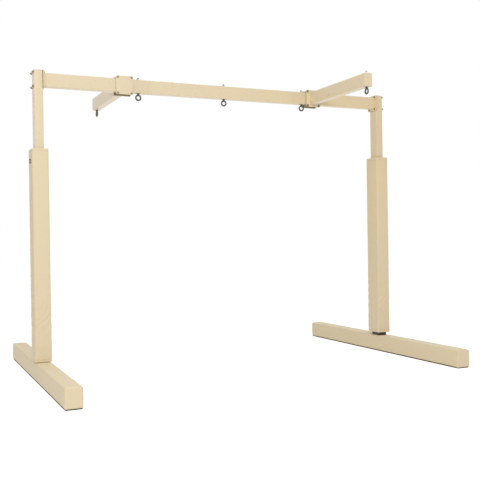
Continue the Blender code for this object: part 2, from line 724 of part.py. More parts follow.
def arm(side, place):
    """Arm along +Y with its clamp: welded plate behind the beam, loose plate in front."""
    near = BEAM_DEEP / 2 + GAP
    far = near + CLAMP_PLATE_THICK
    tube = along_y(box_tube(BEAM_DEEP / 2, BEAM_HIGH / 2, BEAM_CORNER, BEAM_WALL,
                            far - SINK, ARM_REACH - CAP_THICK))
    boom = part(side + "_arm", tube, (0.0, 0.0, 0.0), BEIGE_PAINT, place)
    outline = rounded_rectangle(CLAMP_PLATE_WIDE / 2, CLAMP_PLATE_HIGH / 2, PLATE_CORNER)
    corners = [(x, z) for x in (-CLAMP_BOLT_X, CLAMP_BOLT_X) for z in (-CLAMP_BOLT_Z, CLAMP_BOLT_Z)]
    holes = [circle(BOLT_HOLE_RADIUS, corner) for corner in corners]
    plate = along_y(extruded([outline] + holes, near, far))
    combine(boom, tool(side + "_arm_plate", plate, (0.0, 0.0, 0.0), place), 'UNION')
    bolt_holes(boom, side + "_arm_eye_hole", [(0.0, ARM_EYE_Y, 0.0)], None, place, radius=EYE_HOLE_RADIUS)

    loose = along_y(extruded([outline] + holes, -far, -near))
    part(side + "_clamp_plate", loose, (0.0, 0.0, 0.0), BEIGE_PAINT, place)

    bolt = along_y(through_bolt(-far, far))
    for x, z in corners:
        reach = "outer" if x < 0 else "inner"
        height = "upper" if z > 0 else "lower"
        part(side + "_clamp_bolt_" + reach + "_" + height, bolt, (x, 0.0, z), DARK_STEEL, place)

    cap = along_y(tube_cap(BEAM_DEEP, BEAM_HIGH, BEAM_CORNER, BEAM_WALL))
    part(side + "_arm_cap", cap, (0.0, ARM_REACH - CAP_THICK, 0.0), BEIGE_PAINT, place)

    eye = eyebolt_mesh()
    eye.transform(Matrix.Rotation(math.pi / 2, 4, 'Z'))
    foot = (0.0, ARM_EYE_Y, -BEAM_HIGH / 2)
    part(side + "_arm_eyebolt", eye, foot, ZINC, place)
    part(side + "_arm_eyebolt_nut", eye_nut(), foot, ZINC, place)


def build():
    """Build the whole frame."""
    for side, x, turn, pad_under in (("left", -POST_X, 0.0, LEFT_PAD_UNDER),
                                     ("right", POST_X, math.pi, RIGHT_PAD_UNDER)):
        leg = empty(side + "_leg_place", (x, 0.0, 0.0), turn)
        floor_leg(side, leg)
        lower_post(side, leg, pad_under)
        clamp_screws(side, leg)
    top = empty("upper_frame_place", (0.0, 0.0, 0.0))
    for side, x, turn in (("left", -POST_X, 0.0), ("right", POST_X, math.pi)):
        upper_post(side, empty(side + "_upper_post_place", (x, 0.0, 0.0), turn, top))
    crossbeam(top)
    eye = eyebolt_mesh()
    ring_nut = eye_nut()
    for word, x in zip(("left", "centre", "right"), BEAM_EYES_X):
        part("beam_eyebolt_" + word, eye, (x, 0.0, BEAM_UNDER), ZINC, top)
        part("beam_eyebolt_nut_" + word, ring_nut, (x, 0.0, BEAM_UNDER), ZINC, top)
    for side, x, turn in (("left", -LEFT_ARM_X, 0.0), ("right", RIGHT_ARM_X, math.pi)):
        arm(side, empty(side + "_arm_place", (x, 0.0, BEAM_MID), turn, top))


build()
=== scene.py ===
"""Look of a free-standing swing support frame in beige powder coat and beige vinyl padding.

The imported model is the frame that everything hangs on.  Each surface here is worked out on a grid
of points: rows run along the piece and columns run round it.  Metres, +Z up, X along the beam.
"""

import math
from itertools import product

import bpy
import numpy as np
from mathutils import Matrix, Vector


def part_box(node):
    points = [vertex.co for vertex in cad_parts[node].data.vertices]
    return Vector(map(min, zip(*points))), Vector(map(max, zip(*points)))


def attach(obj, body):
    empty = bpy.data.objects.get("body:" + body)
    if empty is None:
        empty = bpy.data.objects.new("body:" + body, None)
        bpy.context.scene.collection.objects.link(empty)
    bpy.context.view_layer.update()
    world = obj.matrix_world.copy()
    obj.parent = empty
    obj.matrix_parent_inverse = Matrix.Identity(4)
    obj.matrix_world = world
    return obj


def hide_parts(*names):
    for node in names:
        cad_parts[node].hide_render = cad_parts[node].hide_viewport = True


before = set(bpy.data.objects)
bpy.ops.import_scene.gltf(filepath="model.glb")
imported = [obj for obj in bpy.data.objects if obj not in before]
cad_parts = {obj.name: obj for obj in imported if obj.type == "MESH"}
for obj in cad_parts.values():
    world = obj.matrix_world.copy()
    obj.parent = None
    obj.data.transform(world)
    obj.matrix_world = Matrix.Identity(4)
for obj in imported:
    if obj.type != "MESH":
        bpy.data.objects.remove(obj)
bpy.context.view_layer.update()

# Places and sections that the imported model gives; beam, posts and arms share one tube
POST_X = 1.480
SIDES = (("left", -POST_X, 0.0), ("right", POST_X, math.pi))
BEAM_MID = 2.1912
TUBE_WIDE = 0.0635
TUBE_HIGH = 0.1016
TUBE_WALL = 0.004
TUBE_CORNER = 0.006
INNER_CORNER = TUBE_CORNER - TUBE_WALL * 0.6
BEAM_UNDER = BEAM_MID - TUBE_HIGH / 2
GAP = 0.0003
SINK = 0.001
LOWER_WIDE = 0.0762
LOWER_DEEP = 0.1143
LOWER_CORNER = 0.007
PLATE_WIDE = 0.1334
END_PLATE_DEEP = 0.127
CLAMP_PLATE_HIGH = 0.1397
PLATE_CORNER = 0.008
PLATE_THICK = 0.0095
ARM_REACH = 0.870
CAP_THICK = 0.003
BEAM_WELD = 0.0030
ARM_WELD = 0.0032
CLAMP_Z = 1.596
CLAMP_PITCH = 0.019
FOOT_BOLTS_Z = 0.2194


# Materials


class Tone:
    """A number, colour or direction that comes out of a shader node; sums on it add Math nodes."""

    def __init__(self, nodes, socket):
        self.nodes = nodes
        self.socket = socket

    def sum(self, operation, first, second):
        return self.nodes.node("ShaderNodeMath", {"operation": operation}, {0: first, 1: second})

    def __add__(self, other):
        return self.sum('ADD', self, other)

    def __radd__(self, other):
        return self.sum('ADD', other, self)

    def __sub__(self, other):
        return self.sum('SUBTRACT', self, other)

    def __rsub__(self, other):
        return self.sum('SUBTRACT', other, self)

    def __mul__(self, other):
        return self.sum('MULTIPLY', self, other)

    def __rmul__(self, other):
        return self.sum('MULTIPLY', other, self)

    def __abs__(self):
        return self.sum('ABSOLUTE', self, 0.0)

    def above(self, low, high):
        """0 below low, 1 above high, and a smooth rise between."""
        return self.nodes.node("ShaderNodeMapRange", {"interpolation_type": 'SMOOTHSTEP'},
                               {"Value": self, "From Min": low, "From Max": high})


class Nodes:
    """A node tree in the making."""

    def __init__(self, tree):
        self.tree = tree

    def feed(self, sockets, values):
        """Gives each named socket its value, or its link where the value is a tone."""
        for key, value in values.items():
            if isinstance(value, Tone):
                self.tree.links.new(value.socket, sockets[key])
            else:
                sockets[key].default_value = value

    def node(self, kind, settings=None, inputs=None, output=0):
        """Any shader node: its settings go in first, then the values or links of its sockets."""
        made = self.tree.nodes.new(kind)
        for key, value in (settings or {}).items():
            setattr(made, key, value)
        self.feed(made.inputs, inputs or {})
        return Tone(self, made.outputs[output])

    def seen(self):
        """1 where the camera looks, straight or by way of gloss or glass, and 0 for other light."""
        straight, gloss, glass = [self.node("ShaderNodeLightPath", output=f"Is {kind} Ray")
                                  for kind in ("Camera", "Glossy", "Transmission")]
        return straight.sum('MAXIMUM', straight.sum('MAXIMUM', straight, gloss), glass)


class Paint(Nodes):
    """A finish in the making: its nodes, the piece's own coordinates and its shader."""

    def __init__(self, name, roughness=0.5, metallic=0.0, **fixed):
        self.material = bpy.data.materials.new(name)
        self.material.use_nodes = True
        super().__init__(self.material.node_tree)
        self.shader = self.tree.nodes["Principled BSDF"]
        self.set(Roughness=roughness, Metallic=metallic, **fixed)
        self.place = self.node("ShaderNodeTexCoord", output="Object")

    def set(self, **values):
        """Values or links of the shader's own sockets; an underscore stands for a blank."""
        self.feed(self.shader.inputs, {key.replace("_", " "): value for key, value in values.items()})

    def axis(self, name):
        """One of the piece's coordinates."""
        return self.node("ShaderNodeSeparateXYZ", None, {"Vector": self.place}, name)

    def noise(self, scale, detail=2.0, at=None, distortion=0.0):
        """Soft random pattern from 0 to 1 with about scale features a metre."""
        return self.node("ShaderNodeTexNoise", None,
                         {"Vector": at or self.place, "Scale": scale, "Detail": detail,
                          "Distortion": distortion})

    def stretched(self, scale):
        """The piece's coordinates with each axis scaled, for patterns that run one way."""
        return self.node("ShaderNodeMapping", None, {"Vector": self.place, "Scale": scale})

    def mixed(self, amount, first, second):
        """Colour between two colours."""
        return self.node("ShaderNodeMix", {"data_type": 'RGBA'}, {0: amount, 6: first, 7: second}, 2)

    def bump(self, height, distance, strength=1.0):
        """Surface direction from a height pattern."""
        return self.node("ShaderNodeBump", None,
                         {"Height": height, "Distance": distance, "Strength": strength})

    def yellower_by_place(self, tone, colour, amount):
        """The tone made yellower towards the right end and away from the floor, as in the photo."""
        share = self.axis("X").above(-0.9, 1.7) * self.axis("Z").above(0.1, 1.6)
        return self.mixed(share * amount, tone, shade(colour, 1.0, 0.95, 0.87))


def shade(colour, factor, green=1.0, blue=1.0):
    """A colour made lighter or darker and less green or blue, as a node socket wants it."""
    return (colour[0] * factor, colour[1] * green * factor, colour[2] * blue * factor, 1.0)


def powder_coat(name, colour, run, marked=(), yellow_share=1.0):
    """Satin powder coat: orange peel, slow drift of tone, faint rub marks that run one way.

    Each marked place is an axis, a place on it, a half width and a strength: painted shade, partly
    grime, in the joint of two plates, and the scuffs that a clamp leaves where it has been slid along.
    """
    paint = Paint(name, roughness=0.4)
    drift = paint.noise(2.2)
    peel = paint.noise(520.0, 1.0)
    rub = paint.noise(1.0, 3.0, at=paint.stretched(run)).above(0.62, 0.74)
    dust = paint.noise(90.0, 4.0).above(0.66, 0.74)
    tone = paint.mixed(drift, shade(colour, 0.975), shade(colour, 1.02))
    tone = paint.mixed(rub * 0.35, tone, shade(colour, 0.93))
    tone = paint.mixed(dust * 0.25, tone, shade(colour, 0.9, 0.98, 0.93))
    tone = paint.yellower_by_place(tone, colour, yellow_share)
    # Darkened bands: painted shade, partly grime, in plate joints, and real scuffs where a clamp slid
    for axis, middle, half, strength in marked:
        near = 1.0 - abs(paint.axis(axis) - middle).above(half * 0.6, half)
        patchy = paint.noise(36.0, 3.0).above(0.3, 0.7)
        tone = paint.mixed(near * (0.65 + 0.35 * patchy) * strength, tone, shade(colour, 0.4, 0.93, 0.8))
    rough = 0.24 + 0.1 * paint.noise(14.0, 3.0) - 0.05 * rub
    paint.set(Base_Color=tone, Roughness=rough, Normal=paint.bump(peel, 0.00006))
    return paint.material


def coated_cloth(name, colour):
    """Vinyl-coated cloth: pebbled leather grain, soft drift of tone and light scuffs low down."""
    paint = Paint(name, Specular_IOR_Level=0.25)
    sway = paint.noise(160.0)
    grain = paint.node("ShaderNodeTexVoronoi", {"feature": 'DISTANCE_TO_EDGE'},
                       {"Vector": paint.place, "Scale": 430.0}, "Distance")
    pebble = grain.above(0.0, 0.22)
    height = pebble * 0.7 + sway * 0.5 + paint.noise(1500.0) * 0.25
    drift = paint.noise(3.1, 3.0, distortion=0.4)
    scuff = paint.noise(1.0, 4.0, at=paint.stretched((38.0, 9.0, 60.0))).above(0.64, 0.8)
    low_down = 1.0 - paint.axis("Z").above(0.02, 0.55)
    tone = paint.mixed(pebble, shade(colour, 0.93), shade(colour, 1.0))
    tone = paint.mixed(drift * 0.6, tone, shade(colour, 1.0, 0.985, 0.95))
    tone = paint.yellower_by_place(tone, colour, 0.6)
    tone = paint.mixed(scuff * (0.12 + 0.3 * low_down), tone, shade(colour, 0.84, 1.0, 1.03))
    rough = 0.48 + 0.12 * sway - 0.06 * pebble
    paint.set(Base_Color=tone, Roughness=rough, Normal=paint.bump(height, 0.00022, 0.8))
    return paint.material


def dull_metal(name, colour, roughness, stain):
    """Plated steel that has gone dull: cloudy tone, fine scratches and a stain in scattered spots."""
    paint = Paint(name, metallic=1.0)
    cloud = paint.noise(170.0, 3.0)
    scratch = paint.noise(1.0, at=paint.stretched((1500.0, 1500.0, 120.0)))
    spot = paint.noise(420.0, 3.0).above(0.55, 0.72)
    tone = paint.mixed(cloud, shade(colour, 0.8), shade(colour, 1.2))
    tone = paint.mixed(spot * 0.5, tone, (*stain, 1.0))
    rough = roughness + 0.2 * (cloud - 0.5) + 0.12 * spot
    paint.set(Base_Color=tone, Roughness=rough, Normal=paint.bump(scratch, 0.00003))
    return paint.material


def moulded(name, colour, roughness, grain, depth):
    """Moulded plastic, nylon or rubber: an even tone with a fine moulded texture."""
    paint = Paint(name, roughness=roughness)
    cells = paint.noise(grain)
    drift = paint.noise(18.0, 3.0)
    tone = paint.mixed(drift, shade(colour, 0.88), shade(colour, 1.1))
    paint.set(Base_Color=tone, Roughness=roughness + 0.14 * (drift - 0.5), Normal=paint.bump(cells, depth))
    return paint.material


def gloss_black(name):
    """Thin black paint on the hidden tubes, with the mill marks of the steel under it."""
    paint = Paint(name)
    mill = paint.noise(1.0, 3.0, at=paint.stretched((260.0, 260.0, 14.0)))
    marked = paint.noise(30.0, 4.0).above(0.6, 0.75)
    tone = paint.mixed(marked * 0.5, (0.022, 0.020, 0.017, 1.0), (0.05, 0.047, 0.04, 1.0))
    paint.set(Base_Color=tone, Roughness=0.42 + 0.2 * marked, Normal=paint.bump(mill, 0.00008))
    return paint.material


def twisted_thread(name, colour):
    """Sewing thread: fine twist lines across each stitch."""
    paint = Paint(name, roughness=0.7)
    ply = paint.node("ShaderNodeTexWave", {"bands_direction": 'DIAGONAL'},
                     {"Vector": paint.place, "Scale": 900.0}, "Fac")
    tone = paint.mixed(ply, shade(colour, 0.8), shade(colour, 1.05))
    paint.set(Base_Color=tone, Normal=paint.bump(ply, 0.00008))
    return paint.material


BEIGE = (0.815, 0.685, 0.465)
VINYL = (0.845, 0.715, 0.487)
# At X = ±1.448 painted shade, partly grime, in the joints of end plates and posts; at ±0.75 clamp scuffs
beam_coat = powder_coat("beige powder coat, rubbed along the beam", BEIGE, (5.0, 160.0, 160.0),
                        [("X", -1.4480, 0.0014, 1.2), ("X", 1.4480, 0.0034, 1.5),
                         ("X", -0.76, 0.17, 0.1), ("X", 0.74, 0.17, 0.1)])
post_coat = powder_coat("beige powder coat, rubbed along the posts", BEIGE, (160.0, 160.0, 5.0), yellow_share=0.5)
# At Y = ±0.0353 painted shade, partly grime, on the clamp plates' edges next to the beam
arm_coat = powder_coat("beige powder coat, rubbed along the arms", BEIGE, (160.0, 5.0, 160.0),
                       [("Y", -0.0353, 0.0062, 1.8), ("Y", 0.0353, 0.0062, 1.8)], 0.4)
vinyl = coated_cloth("beige vinyl-coated cloth", VINYL)
forged = dull_metal("dark forged steel", (0.125, 0.13, 0.11), 0.4, (0.04, 0.04, 0.03))
zinc = dull_metal("dull zinc plate", (0.50, 0.505, 0.46), 0.42, (0.25, 0.25, 0.2))
dark_plate = dull_metal("dull dark plated steel", (0.29, 0.255, 0.17), 0.45, (0.07, 0.058, 0.035))
knob_black = moulded("black moulded plastic", (0.030, 0.027, 0.020), 0.42, 1400.0, 0.00005)
cap_beige = moulded("beige moulded plastic", (0.79, 0.665, 0.465), 0.5, 1200.0, 0.00006)
nylon = moulded("white nylon", (0.78, 0.78, 0.73), 0.4, 700.0, 0.00004)
rubber = moulded("black rubber", (0.042, 0.041, 0.036), 0.78, 900.0, 0.00015)
black_paint = gloss_black("black paint on steel")
thread = twisted_thread("beige sewing thread", (0.72, 0.60, 0.42))


# Grids of points and the meshes made of them


def outline(half_x, half_y, radii, cells, corner_cells):
    """Rectangle with round corners, anticlockwise from the +X side: points and outward directions.

    Side i runs straight between the arcs round corners i - 1 and i, and an arc is its corner's
    centre plus radius times (cos, sin) of an angle that grows by a quarter turn.
    """
    radii = np.full(4, radii, float)
    sign_x = np.array([1, -1, -1, 1])
    sign_y = np.array([1, 1, -1, -1])
    centre = np.stack([sign_x * (half_x - radii), sign_y * (half_y - radii)], axis=1)
    points, ways = [], []
    for i in range(4):
        way = np.array([round(math.cos(i * math.pi / 2)), round(math.sin(i * math.pi / 2))])
        start = centre[i - 1] + radii[i - 1] * way
        end = centre[i] + radii[i] * way
        steps = cells[(i + 1) % 2]
        share = (np.arange(steps) / steps)[:, None]
        points.append(start * (1 - share) + end * share)
        ways.append(np.tile(way, (steps, 1)))
        angle = (i + np.arange(corner_cells) / corner_cells) * math.pi / 2
        turn = np.stack([np.cos(angle), np.sin(angle)], axis=1)
        points.append(centre[i] + radii[i] * turn)
        ways.append(turn)
    return np.concatenate(points), np.concatenate(ways).astype(float)


def points_at(x, y, z):
    """Grid of points from its coordinates, each of which may lack the rows or the columns."""
    return np.stack(np.broadcast_arrays(x, y, z), axis=-1)


def bell(distance, width):
    """Bell curve: one at the middle, near nothing at twice the width."""
    return np.exp(-(distance / width) ** 2)


def lifted(ring, height):
    """A flat outline at a height."""
    return np.column_stack([ring, np.full(len(ring), height)])


def shell(points, loop=False):
    """Closed skin on a grid (rows, columns, 3): quads between neighbours, columns wrap round.

    The rows wrap too where loop is set, and otherwise each end is closed by a fan to its middle.
    """
    rows, columns = points.shape[:2]
    index = np.arange(rows * columns).reshape(rows, columns)
    flat = points.reshape(-1, 3)
    round_index = np.hstack([index, index[:, :1]])
    fans = np.empty((0, 3), int)
    if loop:
        round_index = np.vstack([round_index, round_index[:1]])
    else:
        first, last = round_index[0], round_index[-1]
        low, high = len(flat), len(flat) + 1
        flat = np.vstack([flat, points[0].mean(axis=0), points[-1].mean(axis=0)])
        fans = np.vstack([
            np.stack([first[1:], first[:-1], np.full(columns, low)], axis=1),
            np.stack([last[:-1], last[1:], np.full(columns, high)], axis=1),
        ])
    quads = np.stack([round_index[:-1, :-1], round_index[:-1, 1:], round_index[1:, 1:],
                      round_index[1:, :-1]], axis=-1).reshape(-1, 4)
    corners = np.vstack([quads[:, [0, 1, 2]], quads[:, [0, 2, 3]], fans])
    a, b, c = flat[corners[:, 0]], flat[corners[:, 1]], flat[corners[:, 2]]
    if np.einsum("ij,ij->i", a, np.cross(b, c)).sum() < 0:
        quads = quads[:, ::-1]
        fans = fans[:, ::-1]
    return flat, quads, fans


def moved(skin, matrix):
    """The same skin carried to another place."""
    points, quads, fans = skin
    turn = np.array(matrix)
    return points @ turn[:3, :3].T + turn[:3, 3], quads, fans


def placed(x, y, z, about_z=0.0):
    """Move to a point after a turn about Z."""
    return Matrix.Translation((x, y, z)) @ Matrix.Rotation(about_z, 4, 'Z')


ALONG_X = Matrix.Rotation(math.pi / 2, 4, 'Y')
ALONG_Y = Matrix.Rotation(-math.pi / 2, 4, 'X')


def centre(node):
    """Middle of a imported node's box."""
    low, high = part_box(node)
    return (low + high) / 2


def added(name, data):
    """New object in the scene from a mesh, a lamp or a camera."""
    made = bpy.data.objects.new(name, data)
    bpy.context.scene.collection.objects.link(made)
    return made


def meshed(name, points, faces):
    """New object with a mesh of these points and faces."""
    mesh = bpy.data.meshes.new(name)
    mesh.from_pydata(np.asarray(points).tolist(), [], faces)
    return added(name, mesh)


def creased(mesh, angle):
    """Smooth shading that breaks at edges sharper than an angle in degrees."""
    mesh.shade_smooth()
    mesh.set_sharp_from_angle(angle=math.radians(angle))


def piece(name, skins, place, finish, body, slot, stands_for=(), crease=35.0):
    """One object from closed skins, with its place, finish, the body it moves with and CAD nodes."""
    skins = [moved(skin, place) for skin in skins]
    starts = np.cumsum([0] + [len(skin[0]) for skin in skins[:-1]])
    faces = []
    for start, skin in zip(starts, skins):
        faces += (skin[1] + start).tolist() + (skin[2] + start).tolist()
    made = meshed(name, np.vstack([skin[0] for skin in skins]), faces)
    made.data.materials.append(finish)
    creased(made.data, crease)
    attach(made, body)
    if stands_for:
        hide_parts(*stands_for)
    return made


# Steel sections, fasteners and plates


def slab(half_x, half_y, corner, low, high, edge=0.001):
    """Plate with round corners and rounded edges.

    Row k of an edge is the outline drawn in by edge (1 - sin a) at height edge (1 - cos a) from
    the face, with a from nothing to a quarter turn.
    """
    angle = np.linspace(0, math.pi / 2, 5)
    inset = edge * (1 - np.sin(angle))
    rise = edge * (1 - np.cos(angle))
    rows = [*zip(inset, low + rise), *zip(inset[::-1], high - rise[::-1])]
    ring, way = outline(half_x, half_y, corner, (2, 2), 8)
    return shell(np.stack([lifted(ring - way * i, z) for i, z in rows]))


def box_tube(half_x, half_y, low, high):
    """Rectangular tube: rows go up the outside, over the end, down the inside and round again."""
    edge = 0.0006
    outer, way = outline(half_x, half_y, TUBE_CORNER, (2, 2), 10)
    inner, _ = outline(half_x - TUBE_WALL, half_y - TUBE_WALL, INNER_CORNER, (2, 2), 10)
    up = ((-edge, low), (0, low + edge), (0, high - edge), (-edge, high))
    rows = [lifted(outer + way * out, z) for out, z in up]
    rows += [lifted(inner - way * out, z) for out, z in up[::-1]]
    return shell(np.stack(rows), loop=True)


def spun(reach, angle, height, loop=False):
    """Skin whose points lie at a reach from Z, an angle round it and a height."""
    return shell(points_at(reach * np.cos(angle), reach * np.sin(angle), height), loop)


def turned(profile, columns=36, across=None, loop=False):
    """Turned solid from rows of (radius, height); a hexagon across its flats limits the radius.

    The hexagon's reach at an angle is half its size over the cosine of the angle from the nearest
    flat, so a chamfer that cuts it leaves the curved edge of a real nut.
    """
    profile = np.asarray(profile, float)
    angle = np.linspace(0, 2 * math.pi, columns, endpoint=False)
    reach = profile[:, :1]
    if across:
        reach = np.minimum(reach, across / 2 / np.cos(angle % (math.pi / 3) - math.pi / 6))
    return spun(reach, angle, profile[:, 1:], loop)


def rod(radius, low, high, columns=24):
    """Plain round bar."""
    return turned([(0.0, low), (radius, low), (radius, high), (0.0, high)], columns)


def threaded(radius, low, high, pitch, chamfer, columns=24):
    """Screw thread from low to high, chamfered at the top.

    The radius falls by the thread's depth times a triangle wave of height over pitch less the
    share of a turn.
    """
    height = np.linspace(low, high, int((high - low) / pitch * 8) + 2)[:, None]
    angle = np.linspace(0, 2 * math.pi, columns, endpoint=False)[None, :]
    wave = np.abs(((height / pitch - angle / (2 * math.pi)) % 1.0) * 2 - 1)
    reach = np.minimum(radius - 0.55 * pitch * wave, radius - chamfer + (high - height))
    return spun(reach, angle, height)


def hex_profile(across, low, high, both=False):
    """Rows of a nut or bolt head from its seat: a thirty-degree chamfer on its top, or on both ends."""
    corner = across / math.sqrt(3)
    flat = across / 2 * 0.96
    rise = np.linspace(0, 1, 7)
    depth = (corner - flat) * math.tan(math.radians(30))
    cone = np.column_stack([flat + (corner - flat) * rise, depth * rise])
    seat = cone if both else np.array([[corner * 0.995, 0.0]])
    way = math.copysign(1.0, high - low)
    rows = [(0.0, low)] + [(r, low + way * z) for r, z in seat]
    return rows + [(r, high - way * z) for r, z in cone[::-1]] + [(0.0, high)]


BOLT_RADIUS = 0.00475
BOLT_PITCH = 0.0015875
HEAD_ACROSS = 0.0143
HEAD_THICK = 0.0061
NUT_THICK = 0.008
WASHER_THICK = 0.0018
WASHER_RADIUS = 0.0105
THREAD_PROUD = 0.004


def washer(radius, hole, low):
    """Flat washer with its edges broken."""
    edge = 0.0003
    high = low + WASHER_THICK
    return turned([(hole, low), (radius - edge, low), (radius, low + edge), (radius, high - edge),
                   (radius - edge, high), (hole, high)], loop=True)


def through_bolt(low, high):
    """Hex bolt along Z with its washer and lock nut run up; the head is at the low end."""
    head_face = low - GAP
    washer_face = high + GAP
    nut_face = washer_face + WASHER_THICK
    top = nut_face + NUT_THICK
    face = 0.0004
    collar = HEAD_ACROSS / 2 * 0.93
    hole = BOLT_RADIUS - 0.0006
    insert = [(0.0, top - 0.003), (collar, top - 0.003), (collar, top - 0.0006), (collar - 0.0006, top),
              (hole + 0.0012, top), (hole + 0.0002, top - 0.0008), (0.0, top - 0.0008)]
    return [
        turned(hex_profile(HEAD_ACROSS, head_face - face, head_face - HEAD_THICK), 72, HEAD_ACROSS),
        rod(HEAD_ACROSS / 2, head_face, head_face - face * 1.5, 36),
        rod(BOLT_RADIUS - 0.0002, head_face - SINK, nut_face + SINK),
        washer(WASHER_RADIUS, BOLT_RADIUS, washer_face),
        turned(hex_profile(HEAD_ACROSS, nut_face, nut_face + NUT_THICK * 0.72, True), 72, HEAD_ACROSS),
        turned(insert),
        threaded(BOLT_RADIUS, nut_face + 0.004, top + THREAD_PROUD, BOLT_PITCH, 0.0008),
    ]


EYE_RING_RADIUS = 0.01905
EYE_WIRE_RADIUS = 0.00635
EYE_CENTRE_DROP = 0.0321
EYE_THREAD_RISE = 0.0195
EYE_THREAD_PITCH = 0.00195
EYE_WASHER_RADIUS = 0.014
EYE_NUT_ACROSS = 0.019
EYE_NUT_THICK = 0.0105
SCREW_HEAD_THICK = 0.006


def forged_eye():
    """Forged eyebolt below a tube whose underside is Z = 0: ring, flared neck, collar and washer.

    The ring is a circle of wire whose radius swells by a bell curve where the neck joins, and the
    neck's radius grows by an exponential towards the ring.
    """
    round_ring = np.linspace(0, 2 * math.pi, 64, endpoint=False)[:, None]
    round_wire = np.linspace(0, 2 * math.pi, 24, endpoint=False)[None, :]
    from_neck = (round_ring + math.pi) % (2 * math.pi) - math.pi
    swell = 1 + 0.16 * bell(from_neck, 0.42)
    reach = EYE_RING_RADIUS + EYE_WIRE_RADIUS * np.cos(round_wire) * (1 + 0.1 * (swell - 1))
    ring = points_at(reach * np.sin(round_ring), EYE_WIRE_RADIUS * swell * np.sin(round_wire),
                     reach * np.cos(round_ring) - EYE_CENTRE_DROP)
    under = -GAP
    foot = -EYE_CENTRE_DROP + EYE_RING_RADIUS - SINK
    height = np.linspace(foot, under - 0.0042, 12)
    neck = 0.0068 + 0.0042 * np.exp(-(height - foot) / 0.0032)
    collar = [(0.0102, under - 0.0036), (0.0105, under - 0.0030), (0.0105, under - WASHER_THICK),
              (0.0, under - WASHER_THICK)]
    return [
        shell(ring, loop=True),
        turned([(0.0, foot), *zip(neck, height), *collar], 40),
        washer(EYE_WASHER_RADIUS, EYE_WIRE_RADIUS, under - WASHER_THICK),
        rod(EYE_WIRE_RADIUS - 0.0002, under - 0.002, TUBE_HIGH + 0.003),
        threaded(EYE_WIRE_RADIUS, TUBE_HIGH + 0.002, TUBE_HIGH + EYE_THREAD_RISE, EYE_THREAD_PITCH,
                 0.0012, 32),
    ]


def eye_nut():
    """Nut and washer on top of the tube, whose underside is Z = 0."""
    low = TUBE_HIGH + GAP
    seat = low + WASHER_THICK
    top = seat + EYE_NUT_THICK
    hole = EYE_WIRE_RADIUS + 0.0003
    chamfer = 0.0008
    rows = hex_profile(EYE_NUT_ACROSS, seat, top, True)[1:-1]
    rows += [(hole + chamfer, top), (hole, top - chamfer), (hole, seat + chamfer), (hole + chamfer, seat)]
    return [washer(EYE_WASHER_RADIUS, hole, low), turned(rows, 72, EYE_NUT_ACROSS, loop=True)]


def thumb_screw():
    """Round fluted head on a screw that points down Z to the post.

    The head's radius is less by a small depth times the square of the cosine of nine times the
    angle, so it has eighteen flutes.
    """
    start = PAD_HALF_X + GAP
    end = start + SCREW_HEAD_THICK
    rows = np.array([(0.0035, start), (0.0070, start), (0.0078, start + 0.0008), (0.0078, end - 0.0016),
                     (0.0073, end - 0.0007), (0.0062, end - 0.0002), (0.0030, end), (0.0018, end - 0.0006)])
    angle = np.linspace(0, 2 * math.pi, 108, endpoint=False)
    flute = 0.0006 * np.cos(9 * angle) ** 2 * np.clip((rows[:, :1] - 0.006) / 0.001, 0, 1)
    tip = TUBE_WIDE / 2 + GAP
    stem = [(0.0, tip), (0.0037, tip), (0.00455, tip + 0.001), (0.00455, start + SINK), (0.0, start + SINK)]
    return [spun(rows[:, :1] - flute, angle, rows[:, 1:]), turned(stem, 24)]


def run_round(path):
    """Distance round a closed path at each of its points, and at the first one again."""
    step = np.linalg.norm(np.roll(path, -1, axis=0) - path, axis=1)
    return np.append(0.0, np.cumsum(step))


def weld_bead(half_x, half_y, radius, height):
    """Fillet weld round a tube where it stands on a plate, with the ripples of the puddle.

    A small circle is carried round the tube's outline; its radius swings as the absolute sine of
    the distance round over the ripple, with two slow sines on top.
    """
    out = 0.0006
    ripple = 0.0032
    ring, way = outline(half_x + out, half_y + out, TUBE_CORNER + out, (60, 60), 10)
    run = run_round(ring)[:-1]
    drift = 0.06 * np.sin(run / 0.021) + 0.04 * np.sin(run / 0.0093 + 1.0)
    size = (radius * (0.92 + 0.16 * np.abs(np.sin(math.pi * run / ripple)) + drift))[:, None]
    angle = np.linspace(0, 2 * math.pi, 10, endpoint=False)
    flat = ring[:, None] + way[:, None] * (size * np.cos(angle))[:, :, None]
    return shell(points_at(flat[..., 0], flat[..., 1], height + size * np.sin(angle)), loop=True)


def domed_cap(half_x, half_y):
    """Push-in tube cap: a flange with a rounded, slightly domed top and a plug below it.

    Rows inside the rim scale towards the middle, and rise by the dome times one less the square
    of their share of the way out.
    """
    edge = 0.0022
    dome = 0.0005
    fit = TUBE_WALL + GAP
    ring, way = outline(half_x, half_y, TUBE_CORNER, (6, 6), 8)
    plug, _ = outline(half_x - fit, half_y - fit, INNER_CORNER, (6, 6), 8)
    rows = [lifted(plug, -0.006), lifted(plug, GAP), lifted(ring, GAP)]
    top = CAP_THICK - dome
    inner = ring - way * edge
    rows += [lifted(ring - way * edge * (1 - math.cos(a)), top - edge + edge * math.sin(a))
             for a in np.linspace(0, math.pi / 2, 7)]
    rows += [lifted(inner * share, top + dome * (1 - share * share)) for share in (0.8, 0.55, 0.3, 0.1)]
    return shell(np.stack(rows))


# Soft covers

CLOTH_FRAMES = 20
CLOTH_ROW = 0.011


